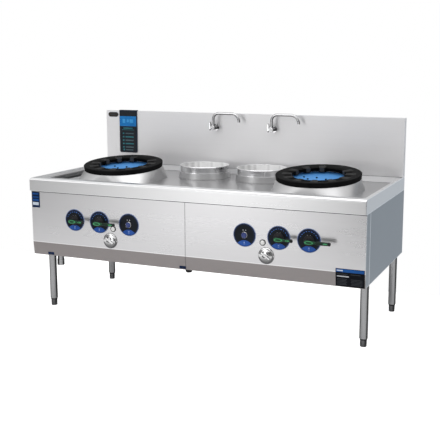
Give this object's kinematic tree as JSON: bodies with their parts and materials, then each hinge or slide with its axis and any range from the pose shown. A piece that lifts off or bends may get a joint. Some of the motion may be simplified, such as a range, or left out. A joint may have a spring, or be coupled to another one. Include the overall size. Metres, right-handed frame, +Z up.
{
  "type": "wok range",
  "caption": "Stainless free-standing wok range on levelling legs: tilted toothed wok rings over glass induction bowls, lift-out rear pots, swivel taps, lever controls, drain gutter.",
  "frame": {"origin": "on the floor, under the middle of the bounding box", "axes": "+X to the cook's right, +Y from the cook towards the backsplash, +Z up"},
  "size_m": [2, 0.94, 1.156],
  "materials": {
    "sheet": "brushed stainless sheet",
    "polished": "polished stainless sheet",
    "cast": "black cast iron",
    "tube": "stainless tube",
    "galvanised": "galvanised sheet",
    "bowl_glass": "blue glass ceramic",
    "copper": "enamelled copper winding",
    "chrome": "chromed",
    "plate": "navy and black dial plates",
    "lever": "green lever grips",
    "button": "blue push button",
    "lamp": "white lamp lens",
    "black": "black moulded plastic",
    "display": "black display housing",
    "screen": "black display window",
    "foot": "turned steel, dark"
  },
  "bodies": {
    "cabinet": {"worktop": "sheet", "deck_plate": "sheet", "backsplash_front": "sheet", "backsplash_cover": "sheet", "back_panel": "sheet", "bottom_tray": "sheet", "tray_lips": "sheet", "front_panel_left": "sheet", "front_panel_right": "sheet", "side_panel_left": "sheet", "side_panel_right": "sheet", "corner_post_left": "sheet", "corner_post_right": "sheet", "gutter_trough": "sheet", "drain_pipe": "tube", "legs": "tube", "base_frame": "tube", "upper_frame": "tube", "supply_pipe": "tube", "panel_screws": "tube", "wok_collar_left": "polished", "wok_collar_right": "polished", "tail_collar_left": "polished", "tail_collar_right": "polished", "wok_bowl_left": "bowl_glass", "wok_bowl_right": "bowl_glass", "induction_coils": "copper", "power_units": "galvanised", "rotary_switches": "black", "cable_gland": "black", "faucet_body_left": "chrome", "faucet_body_right": "chrome", "push_switches": "chrome", "water_valves": "chrome", "control_plates": "plate", "indicator_lamps": "lamp", "display_housing": "display", "display_screen": "screen"},
    "lever_left_outer": {"lever_left_outer": "lever"},
    "lever_left_inner": {"lever_left_inner": "lever"},
    "lever_right_inner": {"lever_right_inner": "lever"},
    "lever_right_outer": {"lever_right_outer": "lever"},
    "foot_front_left": {"foot_front_left": "foot"},
    "foot_front_right": {"foot_front_right": "foot"},
    "foot_rear_left": {"foot_rear_left": "foot"},
    "foot_rear_right": {"foot_rear_right": "foot"},
    "button_left": {"button_left": "button"},
    "button_right": {"button_right": "button"},
    "valve_knob_left": {"valve_knob_left": "chrome"},
    "valve_knob_right": {"valve_knob_right": "chrome"},
    "faucet_spout_left": {"faucet_spout_left": "chrome"},
    "faucet_spout_right": {"faucet_spout_right": "chrome"},
    "faucet_handle_left": {"faucet_handle_left": "chrome"},
    "faucet_handle_right": {"faucet_handle_right": "chrome"},
    "wok_ring_left": {"wok_ring_left": "cast"},
    "wok_ring_right": {"wok_ring_right": "cast"},
    "tail_pot_left": {"tail_pot_left": "polished"},
    "tail_pot_right": {"tail_pot_right": "polished"},
    "fan_rotor_left": {"fan_rotor_left": "black"},
    "fan_rotor_right": {"fan_rotor_right": "black"}
  },
  "joints": [
    {"name": "lever_left_outer_turn", "type": "hinge", "parent": "cabinet", "child": "lever_left_outer", "pos_m": [-0.704, -0.457, 0.57], "axis": [0, -1, 0], "range_deg": [0, 90]},
    {"name": "lever_left_inner_turn", "type": "hinge", "parent": "cabinet", "child": "lever_left_inner", "pos_m": [-0.54, -0.457, 0.57], "axis": [0, -1, 0], "range_deg": [0, 90]},
    {"name": "lever_right_inner_turn", "type": "hinge", "parent": "cabinet", "child": "lever_right_inner", "pos_m": [0.54, -0.457, 0.57], "axis": [0, -1, 0], "range_deg": [0, 90]},
    {"name": "lever_right_outer_turn", "type": "hinge", "parent": "cabinet", "child": "lever_right_outer", "pos_m": [0.704, -0.457, 0.57], "axis": [0, -1, 0], "range_deg": [0, 90]},
    {"name": "button_left_press", "type": "slide", "parent": "cabinet", "child": "button_left", "axis": [0, 1, 0], "range_m": [0, 0.003], "stiffness_N_per_m": 400, "springref_m": -0.002},
    {"name": "valve_knob_left_turn", "type": "hinge", "parent": "cabinet", "child": "valve_knob_left", "pos_m": [-0.471, -0.42, 0.469], "axis": [0, -1, 0], "range_deg": [0, 90]},
    {"name": "faucet_spout_left_swivel", "type": "hinge", "parent": "cabinet", "child": "faucet_spout_left", "pos_m": [-0.195, 0.388, 1.08], "axis": [0, 0, 1], "range_deg": [-170, 0]},
    {"name": "faucet_handle_left_turn", "type": "hinge", "parent": "cabinet", "child": "faucet_handle_left", "pos_m": [-0.215, 0.388, 1.057], "axis": [1, 0, 0], "range_deg": [0, 90]},
    {"name": "wok_ring_left_lift", "type": "slide", "parent": "cabinet", "child": "wok_ring_left", "axis": [0, -0.0941, 0.9956], "range_m": [0, 0.12]},
    {"name": "tail_pot_left_lift", "type": "slide", "parent": "cabinet", "child": "tail_pot_left", "axis": [0, 0, 1], "range_m": [0, 0.18]},
    {"name": "fan_rotor_left_spin", "type": "hinge", "parent": "cabinet", "child": "fan_rotor_left", "pos_m": [-0.62, 0.355, 0.438], "axis": [0, 1, 0], "continuous": true},
    {"name": "button_right_press", "type": "slide", "parent": "cabinet", "child": "button_right", "axis": [0, 1, 0], "range_m": [0, 0.003], "stiffness_N_per_m": 400, "springref_m": -0.002},
    {"name": "valve_knob_right_turn", "type": "hinge", "parent": "cabinet", "child": "valve_knob_right", "pos_m": [0.471, -0.42, 0.469], "axis": [0, -1, 0], "range_deg": [0, 90]},
    {"name": "faucet_spout_right_swivel", "type": "hinge", "parent": "cabinet", "child": "faucet_spout_right", "pos_m": [0.195, 0.388, 1.08], "axis": [0, 0, 1], "range_deg": [-170, 0]},
    {"name": "faucet_handle_right_turn", "type": "hinge", "parent": "cabinet", "child": "faucet_handle_right", "pos_m": [0.175, 0.388, 1.057], "axis": [1, 0, 0], "range_deg": [0, 90]},
    {"name": "wok_ring_right_lift", "type": "slide", "parent": "cabinet", "child": "wok_ring_right", "axis": [0, -0.0941, 0.9956], "range_m": [0, 0.12]},
    {"name": "tail_pot_right_lift", "type": "slide", "parent": "cabinet", "child": "tail_pot_right", "axis": [0, 0, 1], "range_m": [0, 0.18]},
    {"name": "fan_rotor_right_spin", "type": "hinge", "parent": "cabinet", "child": "fan_rotor_right", "pos_m": [0.62, 0.355, 0.438], "axis": [0, 1, 0], "continuous": true},
    {"name": "foot_front_left_screw", "type": "slide", "parent": "cabinet", "child": "foot_front_left", "axis": [0, 0, -1], "range_m": [0, 0.025]},
    {"name": "foot_front_right_screw", "type": "slide", "parent": "cabinet", "child": "foot_front_right", "axis": [0, 0, -1], "range_m": [0, 0.025]},
    {"name": "foot_rear_left_screw", "type": "slide", "parent": "cabinet", "child": "foot_rear_left", "axis": [0, 0, -1], "range_m": [0, 0.025]},
    {"name": "foot_rear_right_screw", "type": "slide", "parent": "cabinet", "child": "foot_rear_right", "axis": [0, 0, -1], "range_m": [0, 0.025]}
  ]
}
